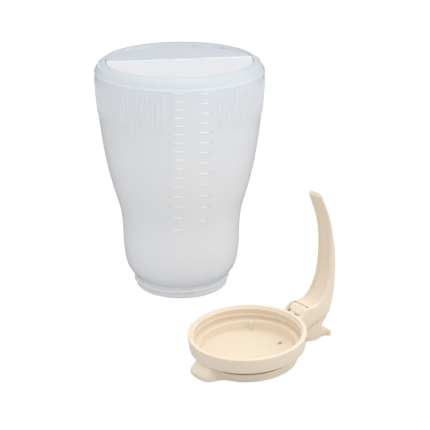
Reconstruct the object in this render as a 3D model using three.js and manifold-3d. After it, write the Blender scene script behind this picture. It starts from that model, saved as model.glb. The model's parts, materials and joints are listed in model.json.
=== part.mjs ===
// Syrup dispenser, taken apart: a translucent blown jar standing upside down on its mouth, and beside
// it the moulded screw lid, also upside down, with its spout, its curved handle and the sprung slide
// that closes the spout. All sizes are in millimetres and +Z is up.
import * as THREE from 'three';
import { mergeVertices } from 'three/addons/utils/BufferGeometryUtils.js';
import Module from 'manifold-3d';

const wasm = await Module();
wasm.setup();
const { Manifold, Mesh: SolidMesh } = wasm;

const degrees = (angle) => angle * Math.PI / 180;

// General
const FIT = 0.3;
const THREAD_PITCH = 5;
const THREAD_STEPS = 30;

// Jar: heights are measured up from the mouth it stands on
const JAR_HEIGHT = 200;
const JAR_WALL = 1.6;
const JAR_SIDES = 100;
const CAVITY_SIDES = 36;
const NECK_RADIUS = 39.2;
const NECK_HEIGHT = 9.4;
const LIP_HEIGHT = 1.6;
const LIP_PROUD = 0.5;
const LIP_ROUND = 0.4;
const BODY_PROFILE = [
  [NECK_RADIUS + 3.2, 11.8], [NECK_RADIUS + 6.2, 16], [NECK_RADIUS + 8.1, 20],
  [NECK_RADIUS + 9.7, 26.5], [NECK_RADIUS + 11, 40], [NECK_RADIUS + 11.5, 57],
  [52.6, 72], [58.4, 93], [63.3, 115], [67, 141], [69.6, 167], [70.8, 190],
];
const BODY_STEPS = 11;
const SHOULDER_STEPS = 4;
const SHOULDER_FULLNESS = 0.56;
const BASE_RADIUS = 63.4;
const BASE_RIM_WIDTH = 1.2;
const RIDGE_BELOW_RIM = 0.5;
const FACET_DEPTH = 4.2;
const PARTING_TURN = degrees(9);
const JAR_THREAD_PROUD = 2.4;
const JAR_THREAD_TURNS = 1.3;
const JAR_THREAD_START = 2.6;

// Flutes and graduations moulded on the jar
const FLUTE_HIGH = JAR_HEIGHT - 13;
const FLUTE_LOW = FLUTE_HIGH - 31.5;
const FLUTE_WIDTH = 1.7;
const FLUTE_PROUD = 0.5;
const FLUTE_FADE = 3;
const FLUTE_SINK = 0.1;
const PANEL_HALF_ANGLE = degrees(17.5);
const MARK_PROUD = 0.45;
const MARK_THICK = 0.9;
const MARK_LENGTH = 6.6;
const MARK_OFFSET = 10.4;
const MILLILITRE_STEP = 100;
const MILLILITRE_MARKS = 16;
const OUNCE_STEP = 4 * 29.574;
const OUNCE_MARKS = 13;

// Lid: its own frame has the rim's open plane at z = 0 and the handle along +X
const LID_PLACE = [53.9, -153.2];
const LID_TURN = degrees(37.5);
const LID_TILT = degrees(3);
const RIM_RADIUS = 45.8;
const RIM_FOOT_RADIUS = RIM_RADIUS - 1.4;
const RIM_HEIGHT = 12.4;
const RIM_WALL = 3.4;
const RIM_FOOT_ROUND = 0.8;
const LEDGE_DEPTH = 10.7;
const LID_THREAD_PROUD = 1.7;
const LID_THREAD_TURNS = 1.6;
const LID_THREAD_FROM = -62;
const LID_THREAD_START = 1.9;
const DRUM_RADIUS = 38.4;
const DRUM_DEPTH = 22.8;
const DRUM_WALL = 1.5;
const DRUM_EDGE = 1.2;
const FLOOR_DEPTH = DRUM_DEPTH - 3.9;
const FLOOR_THICK = 1.4;
const FLOOR_FILLET = 3;
const LEDGE_ROUND = 0.5;
const LID_SIDES = 60;
const LID_RIB_TURN = degrees(47);
const RIB_WIDTH = 2.5;
const RIB_PROUD = 1.1;
const VENT_PLACE = [DRUM_RADIUS - 9.8, -4.5];
const VENT_RADIUS = 1.3;

// Spout: a bulge of the drum opposite the handle
const SPOUT_REACH = 11.6;
const SPOUT_NECK_REACH = 5;
const SPOUT_SPREAD = degrees(19);
const SPOUT_SQUARENESS = 5;
const SPOUT_DEPTH = DRUM_DEPTH - 0.8;
const SPOUT_SINK = 0.35;
const SPOUT_LEVELS = 6;
const LIP_START = 0.75;
const LIP_TURN_IN = 0.04;
const TROUGH_WIDTH = 11;
const TROUGH_WALL = 2.2;

// Hub and handle: pairs of points on the inner and the outer face, as reach beyond the rim and height,
// with half widths and scoop depths
const HANDLE_STATIONS = [
  { inner: [-2.2, -0.6], outer: [-2.2, -12], half: 10.4, scoop: 0 },
  { inner: [0.4, 0], outer: [0.6, -12.9], half: 10.4, scoop: 0 },
  { inner: [5.2, 4.2], outer: [6.6, -14.6], half: 10.3, scoop: 0 },
  { inner: [11.4, 4.1], outer: [15.2, -12.3], half: 10.2, scoop: 0.1 },
  { inner: [17.2, 4.4], outer: [23.6, -10], half: 10, scoop: 0.9 },
  { inner: [21.4, 6.3], outer: [30, -8.3], half: 9.8, scoop: 1.4 },
  { inner: [25.2, 10.4], outer: [34.2, 0], half: 9.4, scoop: 1.6 },
  { inner: [28.2, 15.8], outer: [37.3, 10], half: 9, scoop: 1.6 },
  { inner: [31.1, 23.5], outer: [39, 22], half: 8.7, scoop: 1.6 },
  { inner: [33.1, 34], outer: [39.8, 34.6], half: 8.3, scoop: 1.5 },
  { inner: [34, 46], outer: [39.2, 47.8], half: 8, scoop: 1.4 },
  { inner: [33.7, 57.4], outer: [37.2, 59.8], half: 7.8, scoop: 1.1 },
  { inner: [32.3, 69], outer: [34.9, 70.4], half: 7.8, scoop: 0.8 },
  { inner: [28.8, 80.6], outer: [31.1, 81.6], half: 7.7, scoop: 0.6 },
  { inner: [25.8, 88], outer: [27.8, 89], half: 7.6, scoop: 0.4 },
  { inner: [24, 92.2], outer: [25.7, 93.1], half: 7.2, scoop: 0.2 },
  { inner: [23, 94.5], outer: [24.1, 95.1], half: 5.6, scoop: 0 },
];
const HANDLE_EDGE = 2.2;
const POCKET_HALF = 7.9;
const POCKET_FRONT = RIM_RADIUS + 1.1;
const POCKET_BACK = POCKET_FRONT + 8.9;
const POCKET_DEPTH = 3;
const RETAINER_TOP = 3.6;
const RETAINER_SLOPE = 4.6;
const RETAINER_DROP = 3.2;
const CAVITY_HALF = 4.4;
const CAVITY_FRONT = RIM_RADIUS + 1.8;
const CAVITY_BACK = CAVITY_FRONT + 17.4;
const CAVITY_ROOF = -3;

// Slide: gate plate, nose over the spout, lug for the spring and thumb piece, whose lengths along the
// slide are reaches beyond the rim
const PLATE_THICK = 1.3;
const PLATE_HALF = 9;
const NOSE_HALF = 7.5;
const NOSE_TIP = -DRUM_RADIUS - 10.1;
const RAIL_THICK = 1.5;
const RAIL_LIP = 0.9;
const THUMB_HALF = 8.5;
const THUMB_SIDE = [
  [18.2, THUMB_HALF], [21.7, 7.4], [25.2, 6.5], [28.5, 7], [31, 8.5], [33, 8.2], [34.1, 6.6],
];
const SEAM_FRONT = -14.9;
const SEAM_BACK = -8.9;
const THUMB_PROFILE = [
  [6.8, -24.9], [15.5, -26.6], [25.5, -27.4], [28.7, -27.7], [31.4, -28.2], [33.1, -28.1],
  [33.9, -26.6], [33.6, -24.6], [32.2, -23.4], [30.2, -23.6], [28, -23.4], [25.6, -21.6],
  [23.8, -18.6], [26.6, -14.4], [29.1, -10.6],
];
const LUG_FRONT = CAVITY_FRONT + 1.4;
const LUG_THICK = 3;
const LUG_HALF = 3.8;

// Spring: a compression coil along X between the lug and the cavity's outer wall
const SPRING_RADIUS = 3.2;
const SPRING_WIRE = 0.8;
const SPRING_TURNS = 4.5;
const SPRING_STEPS = 12;
const SPRING_AXIS_HEIGHT = -7.1;

// A closed manifold solid from any three.js geometry
function toSolid(geometry) {
  const bare = new THREE.BufferGeometry();
  bare.setAttribute('position', geometry.getAttribute('position'));
  bare.setIndex(geometry.getIndex());
  const merged = mergeVertices(bare, 1e-4);
  const position = merged.getAttribute('position');
  const index = merged.getIndex().array;
  const corners = [new THREE.Vector3(), new THREE.Vector3(), new THREE.Vector3()];
  const triangles = [];
  let volume = 0;
  for (let i = 0; i < index.length; i += 3) {
    const [a, b, c] = [index[i], index[i + 1], index[i + 2]];
    if (a === b || b === c || c === a) continue;
    triangles.push([a, b, c]);
    corners.forEach((corner, k) => corner.fromBufferAttribute(position, [a, b, c][k]));
    volume += corners[0].dot(corners[1].cross(corners[2]));
  }
  const outward = triangles.map(([a, b, c]) => (volume > 0 ? [a, b, c] : [a, c, b]));
  const mesh = new SolidMesh({
    numProp: 3,
    vertProperties: Float32Array.from(position.array),
    triVerts: Uint32Array.from(outward.flat()),
  });
  return new Manifold(mesh);
}

function toGeometry(solid) {
  const mesh = solid.getMesh();
  const geometry = new THREE.BufferGeometry();
  geometry.setAttribute('position', new THREE.BufferAttribute(mesh.vertProperties, 3));
  geometry.setIndex(new THREE.BufferAttribute(mesh.triVerts, 1));
  geometry.computeVertexNormals();
  return geometry;
}

function box(from, to) {
  const size = to.map((value, axis) => value - from[axis]);
  const geometry = new THREE.BoxGeometry(...size);
  geometry.translate(...from.map((value, axis) => value + size[axis] / 2));
  return toSolid(geometry);
}

// A solid turned about Z from an outline of [radius, height] points that starts and ends on the axis
function turned(outline, sides) {
  const points = outline.map(([radius, height]) => new THREE.Vector2(radius, height));
  return toSolid(new THREE.LatheGeometry(points, sides).rotateX(Math.PI / 2));
}

// An outline of [x, z] points drawn in side view and thickened along Y
function sidePlate(outline, halfWidth) {
  const shape = new THREE.Shape(outline.map(([x, z]) => new THREE.Vector2(x, z)));
  const geometry = new THREE.ExtrudeGeometry(shape, { depth: 2 * halfWidth, bevelEnabled: false });
  return toSolid(geometry.rotateX(Math.PI / 2).translate(0, halfWidth, 0));
}

// A plan shape thickened upwards from one height to another
function planPlate(shape, low, high) {
  const settings = { depth: high - low, bevelEnabled: false, curveSegments: 10 };
  return toSolid(new THREE.ExtrudeGeometry(shape, settings).translate(0, 0, low));
}

// The skin through a row of rings, which all have the same number of points, closed at both ends
function loft(rings) {
  const count = rings[0].length;
  const index = [];
  for (let ring = 0; ring < rings.length - 1; ring += 1) {
    for (let side = 0; side < count; side += 1) {
      const next = (side + 1) % count;
      const low = ring * count;
      const high = low + count;
      index.push(low + side, low + next, high + next, low + side, high + next, high + side);
    }
  }
  const closeEnd = (ring, first, forward) => {
    const normal = new THREE.Vector3();
    ring.forEach((point, k) => normal.add(point.clone().cross(ring[(k + 1) % count])));
    const across = new THREE.Vector3().subVectors(ring[1], ring[0]).normalize();
    const up = new THREE.Vector3().crossVectors(normal, across).normalize();
    const flat = ring.map((point) => new THREE.Vector2(point.dot(across), point.dot(up)));
    for (const [a, b, c] of THREE.ShapeUtils.triangulateShape(flat, [])) {
      const turn = THREE.ShapeUtils.area([flat[a], flat[b], flat[c]]) > 0;
      const order = turn === forward ? [a, b, c] : [a, c, b];
      index.push(...order.map((corner) => first + corner));
    }
  };
  closeEnd(rings[0], 0, false);
  closeEnd(rings.at(-1), (rings.length - 1) * count, true);
  const geometry = new THREE.BufferGeometry();
  geometry.setFromPoints(rings.flat());
  geometry.setIndex(index);
  return toSolid(geometry);
}

// A thread: a bead wound round Z, running out to nothing at both ends
function threadBead({ wallRadius, proud, start, turns, sink }) {
  const steps = Math.round(turns * THREAD_STEPS);
  const halfFoot = THREAD_PITCH * 0.3;
  const rings = [];
  for (let step = 0; step <= steps; step += 1) {
    const angle = step / THREAD_STEPS * 2 * Math.PI;
    const height = start + step / THREAD_STEPS * THREAD_PITCH;
    const fade = Math.min(1, Math.min(step, steps - step) / 4 + 0.12);
    const crest = wallRadius + proud * fade;
    const root = wallRadius - sink;
    const section = [
      [root, height - halfFoot], [crest, height - halfFoot / 3],
      [crest, height + halfFoot / 3], [root, height + halfFoot],
    ];
    rings.push(section.map(([radius, z]) => (
      new THREE.Vector3(radius * Math.cos(angle), radius * Math.sin(angle), z))));
  }
  return loft(rings);
}

// Jar
function bodyPoints() {
  const curve = new THREE.SplineCurve(BODY_PROFILE.map(([radius, z]) => new THREE.Vector2(radius, z)));
  return curve.getPoints(BODY_STEPS).map((point) => [point.x, point.y]);
}

function jarWall() {
  const [topRadius, topHeight] = BODY_PROFILE.at(-1);
  const shoulder = new THREE.QuadraticBezierCurve(
    new THREE.Vector2(topRadius, topHeight),
    new THREE.Vector2(topRadius, topHeight + (JAR_HEIGHT - topHeight) * SHOULDER_FULLNESS),
    new THREE.Vector2(BASE_RADIUS, JAR_HEIGHT),
  );
  const shoulderPoints = shoulder.getPoints(SHOULDER_STEPS).slice(1).map((point) => [point.x, point.y]);
  return [
    [NECK_RADIUS + LIP_PROUD - LIP_ROUND, 0],
    [NECK_RADIUS + LIP_PROUD, LIP_ROUND],
    [NECK_RADIUS + LIP_PROUD, LIP_HEIGHT],
    [NECK_RADIUS, LIP_HEIGHT + LIP_ROUND],
    [NECK_RADIUS, NECK_HEIGHT],
    ...bodyPoints(),
    ...shoulderPoints,
  ];
}

const WALL_POINTS = jarWall();

function wallRadius(height) {
  const above = WALL_POINTS.findIndex(([, z]) => z >= height);
  const [highRadius, high] = WALL_POINTS[above];
  const [lowRadius, low] = WALL_POINTS[above - 1];
  return lowRadius + (highRadius - lowRadius) * (height - low) / (high - low);
}

// Two shallow slopes falling from a straight ridge, lowered by a given amount
function roofHeight(distance, lowered) {
  const slope = (FACET_DEPTH - RIDGE_BELOW_RIM) / BASE_RADIUS;
  return JAR_HEIGHT - RIDGE_BELOW_RIM - slope * Math.abs(distance) - lowered;
}

function underRoof(lowered) {
  const reach = 2 * BASE_RADIUS;
  const outline = [
    [-reach, -JAR_HEIGHT], [reach, -JAR_HEIGHT], [reach, roofHeight(reach, lowered)],
    [0, roofHeight(0, lowered)], [-reach, roofHeight(reach, lowered)],
  ];
  return sidePlate(outline, reach).rotate([0, 0, 90 + PARTING_TURN * 180 / Math.PI]);
}

// Volume held between the base and a height, in millilitres
function heldVolume(height) {
  const slices = 200;
  const top = JAR_HEIGHT - FACET_DEPTH / 2 - JAR_WALL;
  const slice = (top - height) / slices;
  let volume = 0;
  for (let i = 0; i < slices; i += 1) {
    volume += Math.PI * (wallRadius(height + (i + 0.5) * slice) - JAR_WALL) ** 2 * slice;
  }
  return volume / 1000;
}

function heightForVolume(volume) {
  let low = NECK_HEIGHT;
  let high = JAR_HEIGHT - FACET_DEPTH - JAR_WALL;
  while (high - low > 0.01) {
    const middle = (low + high) / 2;
    if (heldVolume(middle) > volume) low = middle;
    else high = middle;
  }
  return low;
}

function flutes() {
  const step = 2 * Math.PI / JAR_SIDES;
  const heights = [FLUTE_LOW, FLUTE_LOW + FLUTE_FADE, (FLUTE_LOW + FLUTE_HIGH) / 2, FLUTE_HIGH];
  const panelCentre = -Math.PI / 2 + PARTING_TURN;
  const bars = [];
  for (let i = 0; i < JAR_SIDES; i += 1) {
    const angle = (i + 0.5) * step;
    const fromPanel = Math.abs(Math.atan2(Math.sin(angle - panelCentre), Math.cos(angle - panelCentre)));
    if (fromPanel < PANEL_HALF_ANGLE) continue;
    const rings = heights.map((height, k) => {
      const flat = wallRadius(height) * Math.cos(step / 2);
      const proud = k === 0 ? -FLUTE_SINK : FLUTE_PROUD;
      const section = [
        [flat - JAR_WALL / 2, -FLUTE_WIDTH / 2], [flat + proud, -FLUTE_WIDTH / 3],
        [flat + proud, FLUTE_WIDTH / 3], [flat - JAR_WALL / 2, FLUTE_WIDTH / 2],
      ];
      return section.map(([x, y]) => new THREE.Vector3(x, y, height)
        .applyAxisAngle(new THREE.Vector3(0, 0, 1), angle));
    });
    bars.push(loft(rings));
  }
  return bars;
}

function graduations() {
  const column = (side, count, step) => Array.from({ length: count }, (_, i) => {
    const height = heightForVolume((i + 1) * step);
    const radius = Math.sqrt(wallRadius(height) ** 2 - MARK_OFFSET ** 2);
    const from = [radius - JAR_WALL / 2, side * MARK_OFFSET - MARK_LENGTH / 2, height - MARK_THICK / 2];
    const to = [radius + MARK_PROUD, side * MARK_OFFSET + MARK_LENGTH / 2, height + MARK_THICK / 2];
    return box(from, to).rotate([0, 0, -90 + PARTING_TURN * 180 / Math.PI]);
  });
  return [
    ...column(-1, MILLILITRE_MARKS, MILLILITRE_STEP),
    ...column(1, OUNCE_MARKS, OUNCE_STEP),
  ];
}

function makeJar() {
  const skin = turned([[0, 0], ...WALL_POINTS, [0, JAR_HEIGHT]], JAR_SIDES);
  const thread = threadBead({
    wallRadius: NECK_RADIUS,
    proud: JAR_THREAD_PROUD,
    start: JAR_THREAD_START,
    turns: JAR_THREAD_TURNS,
    sink: JAR_WALL / 2,
  });
  const pitRadius = BASE_RADIUS - BASE_RIM_WIDTH;
  const pit = turned([
    [0, JAR_HEIGHT - 2 * FACET_DEPTH], [pitRadius - 0.8, JAR_HEIGHT - 2 * FACET_DEPTH],
    [pitRadius, JAR_HEIGHT], [pitRadius, JAR_HEIGHT + 1], [0, JAR_HEIGHT + 1],
  ], JAR_SIDES).subtract(underRoof(0));
  const innerWall = WALL_POINTS.filter(([, z]) => z >= NECK_HEIGHT)
    .map(([radius, z]) => [radius - JAR_WALL, z]);
  const cavity = turned([
    [0, -1], [NECK_RADIUS - JAR_WALL, -1], ...innerWall, [0, JAR_HEIGHT],
  ], CAVITY_SIDES).intersect(underRoof(JAR_WALL));
  return Manifold.union([skin, thread, ...flutes(), ...graduations()]).subtract(pit).subtract(cavity);
}

// Lid
const GATE_HIGH = -(FLOOR_DEPTH + FLOOR_THICK + FIT);
const GATE_LOW = GATE_HIGH - PLATE_THICK;

// The drum's outer radius at an angle from the spout and at a depth below the rim plane
function drumReach(angle, depth) {
  const down = (depth - RIM_HEIGHT) / (SPOUT_DEPTH - RIM_HEIGHT);
  const lip = 1 - LIP_TURN_IN * Math.max(0, down - LIP_START) / (1 - LIP_START);
  const opening = Math.sin(Math.min(1, down / LIP_START) * Math.PI / 2);
  const flare = SPOUT_NECK_REACH + (SPOUT_REACH - SPOUT_NECK_REACH) * opening;
  return DRUM_RADIUS + flare * lip * Math.exp(-((angle / SPOUT_SPREAD) ** SPOUT_SQUARENESS));
}

function spoutBulge() {
  const levels = [RIM_HEIGHT - RIM_FOOT_ROUND];
  for (let k = 0; k <= SPOUT_LEVELS; k += 1) {
    levels.push(RIM_HEIGHT + SPOUT_SINK + (SPOUT_DEPTH - RIM_HEIGHT - SPOUT_SINK) * k / SPOUT_LEVELS);
  }
  const sides = 40;
  const span = degrees(34);
  const rings = levels.map((depth) => {
    const ring = [];
    for (let k = 0; k <= sides; k += 1) {
      const angle = -span + 2 * span * k / sides;
      const outside = drumReach(Math.abs(angle), Math.max(depth, RIM_HEIGHT));
      const radius = outside - SPOUT_SINK * Math.abs(angle) / span;
      ring.push(new THREE.Vector3(-radius * Math.cos(angle), -radius * Math.sin(angle), -depth));
    }
    ring.push(new THREE.Vector3(-DRUM_RADIUS * 0.7, 0, -depth));
    return ring;
  });
  return loft(rings);
}

function drumAndRim() {
  const outer = [
    [0, -DRUM_DEPTH], [DRUM_RADIUS - DRUM_EDGE, -DRUM_DEPTH],
    [DRUM_RADIUS - 0.3 * DRUM_EDGE, -DRUM_DEPTH + 0.4 * DRUM_EDGE],
    [DRUM_RADIUS, -DRUM_DEPTH + 1.4 * DRUM_EDGE],
    [DRUM_RADIUS, -RIM_HEIGHT - RIM_FOOT_ROUND], [DRUM_RADIUS + RIM_FOOT_ROUND, -RIM_HEIGHT],
    [RIM_FOOT_RADIUS - RIM_FOOT_ROUND, -RIM_HEIGHT], [RIM_FOOT_RADIUS, -RIM_HEIGHT + RIM_FOOT_ROUND],
    [RIM_RADIUS, -RIM_FOOT_ROUND], [RIM_RADIUS - RIM_FOOT_ROUND, 0], [0, 0],
  ];
  return turned(outer, LID_SIDES);
}

function bowl() {
  const wall = DRUM_RADIUS - DRUM_WALL;
  const rimInside = RIM_RADIUS - RIM_WALL;
  return turned([
    [0, -FLOOR_DEPTH], [wall - FLOOR_FILLET, -FLOOR_DEPTH],
    [wall - 0.4 * FLOOR_FILLET, -FLOOR_DEPTH + 0.2 * FLOOR_FILLET],
    [wall - 0.1 * FLOOR_FILLET, -FLOOR_DEPTH + 0.7 * FLOOR_FILLET], [wall, -LEDGE_DEPTH - LEDGE_ROUND],
    [wall + LEDGE_ROUND, -LEDGE_DEPTH], [rimInside, -LEDGE_DEPTH], [rimInside, -RIM_FOOT_ROUND],
    [rimInside + RIM_FOOT_ROUND, 0], [rimInside + RIM_FOOT_ROUND, RIM_WALL], [0, RIM_WALL],
  ], LID_SIDES);
}

function handleSection({ inner, outer, half, scoop }) {
  const from = new THREE.Vector2(RIM_RADIUS + inner[0], inner[1]);
  const along = new THREE.Vector2(RIM_RADIUS + outer[0], outer[1]).sub(from);
  const thick = along.length();
  along.normalize();
  const edge = Math.min(HANDLE_EDGE, half * 0.4);
  const round = Math.min(2.4, thick * 0.42, half * 0.5);
  const bevel = Math.min(0.8, thick * 0.2);
  const section = [
    [-half, bevel], [-half + bevel, 0], [-half + edge, 0.05], [-half + 1.8 * edge, scoop],
    [half - 1.8 * edge, scoop], [half - edge, 0.05], [half - bevel, 0], [half, bevel],
    [half, thick - round], [half - 0.3 * round, thick - 0.3 * round], [half - round, thick],
    [-half + round, thick], [-half + 0.3 * round, thick - 0.3 * round], [-half, thick - round],
  ];
  return section.map(([y, depth]) => (
    new THREE.Vector3(from.x + along.x * depth, y, from.y + along.y * depth)));
}

function slideRails() {
  const low = -DRUM_DEPTH;
  const side = PLATE_HALF + FIT;
  const reach = DRUM_RADIUS;
  const lipTop = GATE_LOW - FIT;
  const rails = [];
  for (const sign of [-1, 1]) {
    const ordered = (a, b) => [Math.min(a, b), Math.max(a, b)];
    const [webFrom, webTo] = ordered(sign * side, sign * (side + RAIL_THICK));
    const [lipFrom, lipTo] = ordered(sign * (PLATE_HALF - RAIL_LIP), sign * (side + RAIL_THICK));
    rails.push(box([-reach, webFrom, low], [reach, webTo, -FLOOR_DEPTH - FLOOR_THICK / 2]));
    rails.push(box([-reach, lipFrom, low], [reach, lipTo, lipTop]));
  }
  const reachInWall = DRUM_RADIUS - DRUM_WALL / 2;
  const drumInside = turned([
    [0, -2 * DRUM_DEPTH], [reachInWall, -2 * DRUM_DEPTH], [reachInWall, 0], [0, 0],
  ], LID_SIDES);
  return Manifold.union(rails).intersect(drumInside);
}

function noseShape(half, tip, back) {
  const shape = new THREE.Shape();
  shape.moveTo(back, -half);
  shape.lineTo(back, half);
  shape.lineTo(tip + half, half);
  shape.absarc(tip + half, 0, half, Math.PI / 2, 3 * Math.PI / 2, false);
  return shape;
}

function troughCut() {
  const lip = DRUM_RADIUS + SPOUT_REACH - TROUGH_WALL;
  const roof = -RIM_HEIGHT - TROUGH_WALL * 0.7;
  const insideWall = -DRUM_RADIUS + 2 * DRUM_WALL;
  const midWall = -DRUM_RADIUS + DRUM_WALL / 2;
  const outline = [
    [insideWall, -FLOOR_DEPTH], [midWall, -FLOOR_DEPTH], [midWall, GATE_LOW], [-lip, GATE_LOW],
    [-lip, GATE_HIGH + TROUGH_WALL / 2], [-lip + TROUGH_WALL, roof - TROUGH_WALL],
    [-DRUM_RADIUS - TROUGH_WALL, roof], [insideWall, roof],
  ];
  return sidePlate(outline, TROUGH_WIDTH / 2);
}

function makeLid() {
  const wallInside = DRUM_RADIUS - DRUM_WALL;
  const underside = -FLOOR_DEPTH - FLOOR_THICK;
  const recess = turned([
    [0, -DRUM_DEPTH - 1], [wallInside, -DRUM_DEPTH - 1], [wallInside, underside], [0, underside],
  ], LID_SIDES);
  const thread = threadBead({
    wallRadius: RIM_RADIUS - RIM_WALL,
    proud: -LID_THREAD_PROUD,
    start: -LEDGE_DEPTH + LID_THREAD_START,
    turns: LID_THREAD_TURNS,
    sink: -RIM_WALL / 3,
  }).rotate([0, 0, LID_THREAD_FROM]);
  const rib = box(
    [wallInside - RIB_PROUD, -RIB_WIDTH / 2, -FLOOR_DEPTH - FLOOR_THICK / 3],
    [wallInside + DRUM_WALL / 3, RIB_WIDTH / 2, -LEDGE_DEPTH - LEDGE_ROUND],
  ).rotate([0, 0, LID_RIB_TURN * 180 / Math.PI]);
  const handle = loft(HANDLE_STATIONS.map(handleSection));
  const handleOutside = handle.subtract(turned([
    [0, -2 * RIM_HEIGHT], [RIM_RADIUS - RIM_WALL / 2, -2 * RIM_HEIGHT],
    [RIM_RADIUS - RIM_WALL / 2, 1], [0, 1],
  ], LID_SIDES));
  const gateWay = box(
    [-DRUM_RADIUS, -PLATE_HALF - FIT, GATE_LOW - FIT],
    [DRUM_RADIUS + 2, PLATE_HALF + FIT, underside],
  );
  const gateMouth = box(
    [-DRUM_RADIUS, -PLATE_HALF + RAIL_LIP, -DRUM_DEPTH - 1],
    [DRUM_RADIUS + 2, PLATE_HALF - RAIL_LIP, underside],
  );
  const seatShape = noseShape(NOSE_HALF + FIT, NOSE_TIP - FIT, -DRUM_RADIUS + 2 * DRUM_WALL);
  const noseSeat = planPlate(seatShape, -DRUM_DEPTH - 1, underside);
  const pocket = box([POCKET_FRONT, -POCKET_HALF, -POCKET_DEPTH], [POCKET_BACK, POCKET_HALF, 10]);
  const springCavity = box([CAVITY_FRONT, -CAVITY_HALF, -20], [CAVITY_BACK, CAVITY_HALF, CAVITY_ROOF]);
  const vent = turned([[0, -30], [VENT_RADIUS, -30], [VENT_RADIUS, 0], [0, 0]], 12)
    .translate([...VENT_PLACE, 0]);
  const shell = Manifold.union([drumAndRim(), spoutBulge()]).subtract(recess).subtract(bowl());
  return Manifold.union([shell, slideRails(), thread, rib, handleOutside])
    .subtract(Manifold.union([gateWay, gateMouth, noseSeat, troughCut(), pocket, springCavity, vent]));
}

// Spring retainer: the block pressed into the hub's pocket
function makeRetainer() {
  const front = POCKET_FRONT + FIT;
  const back = POCKET_BACK - FIT;
  const low = -POCKET_DEPTH + FIT;
  const outline = [
    [front, low], [back, low], [back, RETAINER_TOP], [front + RETAINER_SLOPE, RETAINER_TOP],
    [front, RETAINER_TOP - RETAINER_DROP],
  ];
  return sidePlate(outline, POCKET_HALF - FIT);
}

// Slide
function makeSlide() {
  const thumbProfile = THUMB_PROFILE.map(([reach, z]) => [RIM_RADIUS + reach, z]);
  const [plateEnd] = thumbProfile[0];
  const flange = box(
    [-DRUM_RADIUS + 2 * DRUM_WALL, -PLATE_HALF, GATE_LOW],
    [plateEnd + LUG_THICK, PLATE_HALF, GATE_HIGH],
  );
  const nose = planPlate(noseShape(NOSE_HALF, NOSE_TIP, -DRUM_RADIUS + 6), GATE_LOW, GATE_HIGH);
  const [backEdge] = thumbProfile.at(-1);
  const profile = [...thumbProfile, [backEdge, SEAM_BACK], [plateEnd, SEAM_FRONT]];
  const tip = Math.max(...thumbProfile.map(([x]) => x));
  const waist = new THREE.Shape();
  waist.moveTo(plateEnd, -THUMB_HALF);
  const side = THUMB_SIDE.map(([reach, half]) => new THREE.Vector2(RIM_RADIUS + reach, half));
  waist.lineTo(side[0].x, -side[0].y);
  waist.splineThru(side.slice(1).map((point) => new THREE.Vector2(point.x, -point.y)));
  waist.lineTo(tip + FIT, side.at(-1).y);
  waist.splineThru(side.slice(0, -1).reverse());
  waist.lineTo(plateEnd, THUMB_HALF);
  const thumb = sidePlate(profile, THUMB_HALF).intersect(planPlate(waist, -40, 10));
  const lug = box([LUG_FRONT, -LUG_HALF, GATE_LOW], [LUG_FRONT + LUG_THICK, LUG_HALF, CAVITY_ROOF - FIT]);
  return Manifold.union([flange, nose, thumb, lug]);
}

// Spring
function makeSpring() {
  const from = LUG_FRONT + LUG_THICK + FIT + SPRING_WIRE / 2;
  const to = CAVITY_BACK - FIT - SPRING_WIRE / 2;
  const steps = Math.round(SPRING_TURNS * SPRING_STEPS);
  const rings = [];
  for (let step = 0; step <= steps; step += 1) {
    const angle = step / SPRING_STEPS * 2 * Math.PI;
    const along = from + (to - from) * step / steps;
    const ring = [];
    for (let side = 0; side < 6; side += 1) {
      const turn = side / 6 * 2 * Math.PI;
      const radius = SPRING_RADIUS + SPRING_WIRE / 2 * Math.cos(turn);
      ring.push(new THREE.Vector3(
        along + SPRING_WIRE / 2 * Math.sin(turn),
        radius * Math.cos(angle),
        SPRING_AXIS_HEIGHT + radius * Math.sin(angle),
      ));
    }
    rings.push(ring);
  }
  return loft(rings);
}

function piece(name, solid, settings) {
  const mesh = new THREE.Mesh(toGeometry(solid), new THREE.MeshStandardMaterial(settings));
  mesh.name = name;
  return mesh;
}

const almond = { color: 0xf3e3cb, roughness: 0.45, metalness: 0 };
const frosted = { color: 0xdfe6ea, roughness: 0.5, metalness: 0, transparent: true, opacity: 0.6 };
const jar = piece('jar', makeJar(), frosted);
const lidParts = new THREE.Group();
lidParts.add(
  piece('lid', makeLid(), almond),
  piece('spring_retainer', makeRetainer(), { ...almond, color: 0xf0dfc6 }),
  piece('slide', makeSlide(), { ...almond, color: 0xeddbc1 }),
  piece('spring', makeSpring(), { color: 0xb8babd, roughness: 0.3, metalness: 1 }),
);
lidParts.rotation.y = -LID_TILT;

const lidPlace = new THREE.Group();
lidPlace.add(lidParts);
lidPlace.rotation.z = LID_TURN;
lidPlace.position.set(...LID_PLACE, 0);
lidPlace.updateMatrixWorld(true);
lidPlace.position.z = -new THREE.Box3().setFromObject(lidPlace, true).min.z;

// The whole set is centred over the origin and stands on z = 0
const group = new THREE.Group();
group.add(jar, lidPlace);
group.updateMatrixWorld(true);
const bounds = new THREE.Box3().setFromObject(group, true);
group.position.set(-(bounds.min.x + bounds.max.x) / 2, -(bounds.min.y + bounds.max.y) / 2, -bounds.min.z);

export default group;
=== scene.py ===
# %% [markdown]
# # A syrup dispenser, taken apart
# The object is a waisted plastic jar that stands upside down on its mouth, and beside it the screw lid,
# also upside down, with a spout, a curved handle and a thumb slide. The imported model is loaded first: it
# gives the place of every piece, and the new pieces are modelled around it at the same size.

# %% Load the frame
import json
from math import atan2, cos, degrees, exp, hypot, pi, radians, sin

import bpy
from mathutils import Matrix, Vector


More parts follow.
